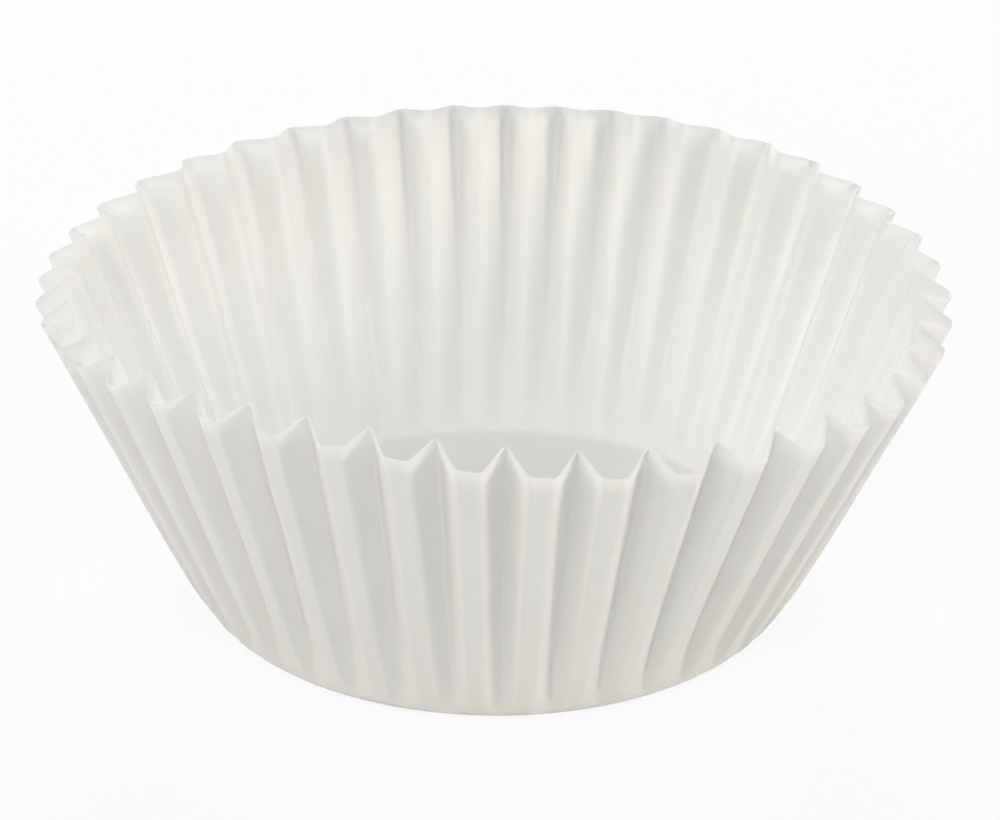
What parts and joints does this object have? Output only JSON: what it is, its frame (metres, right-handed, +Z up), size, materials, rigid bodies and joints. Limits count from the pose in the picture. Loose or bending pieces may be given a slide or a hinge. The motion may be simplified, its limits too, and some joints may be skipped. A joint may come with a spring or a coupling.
{
  "type": "fluted baking cup",
  "caption": "Round white paper baking cup with a flat base and a thin fluted wall that leans outwards to an open rim.",
  "frame": {"origin": "centre of the underside of the flat base", "axes": "+Z up out of the open rim; -Y is the front, the side that the picture's camera looks at; +X is to its right"},
  "size_m": [0.0746, 0.0712, 0.0294],
  "materials": {
    "paper": "matte"
  },
  "bodies": {
    "root": {"baking_cup": "paper"}
  },
  "joints": []
}
